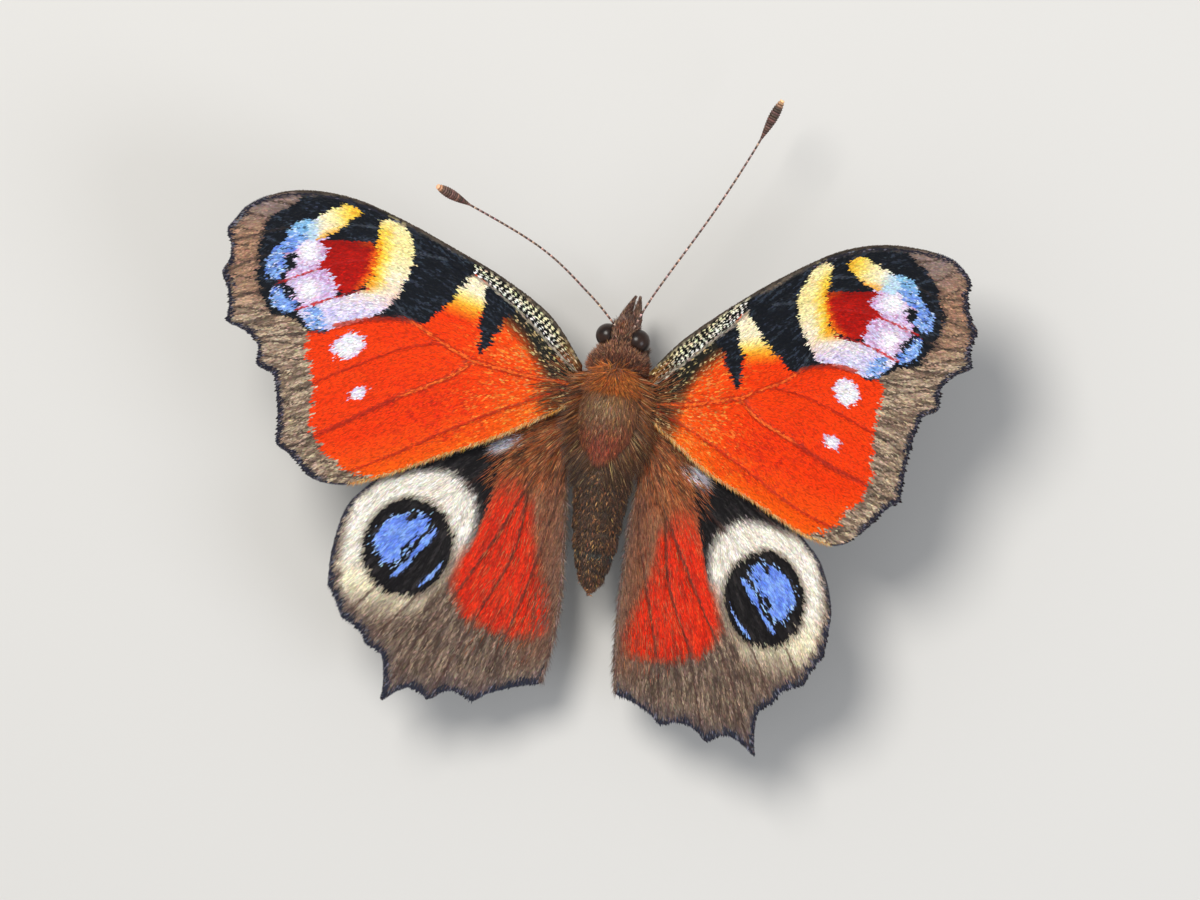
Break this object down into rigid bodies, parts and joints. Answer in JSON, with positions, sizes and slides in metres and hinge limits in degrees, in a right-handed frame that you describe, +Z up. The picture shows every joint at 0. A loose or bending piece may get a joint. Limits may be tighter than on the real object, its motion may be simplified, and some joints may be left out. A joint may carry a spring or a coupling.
{
  "type": "peacock butterfly",
  "caption": "Still, life-size butterfly standing on its walking legs with its wings spread in a shallow V and its clubbed antennae held forward.",
  "frame": {"origin": "on the ground under the middle of the outline, at the level of the feet", "axes": "+Z up, +Y towards the head, +X to the insect's right along the wingspan"},
  "size_m": [0.0594, 0.0504, 0.0209],
  "materials": {
    "head": "short brown fur",
    "eye": "faceted, glossy dark brown",
    "palp": "brown bristly scales",
    "proboscis": "satin dark brown",
    "antenna": "fine pale and dark bands, dark club with a pale tip",
    "prothorax": "orange-brown fur ruff",
    "thorax": "brown fur",
    "abdomen": "dark scales with narrow bands",
    "forewing": "scaled, red-orange with an eyespot and a taupe border",
    "hindwing": "scaled, red with a large eyespot and a grey-brown border",
    "leg": "fine brown scales and spines"
  },
  "bodies": {
    "root": {"head": "head", "eye_left": "eye", "eye_right": "eye", "palp_left": "palp", "palp_right": "palp", "proboscis": "proboscis", "antenna_left": "antenna", "antenna_right": "antenna", "prothorax": "prothorax", "thorax": "thorax", "abdomen": "abdomen", "forewing_left": "forewing", "forewing_right": "forewing", "hindwing_left": "hindwing", "hindwing_right": "hindwing", "foreleg_left": "leg", "foreleg_right": "leg", "midleg_left": "leg", "midleg_right": "leg", "hindleg_left": "leg", "hindleg_right": "leg"}
  },
  "joints": []
}
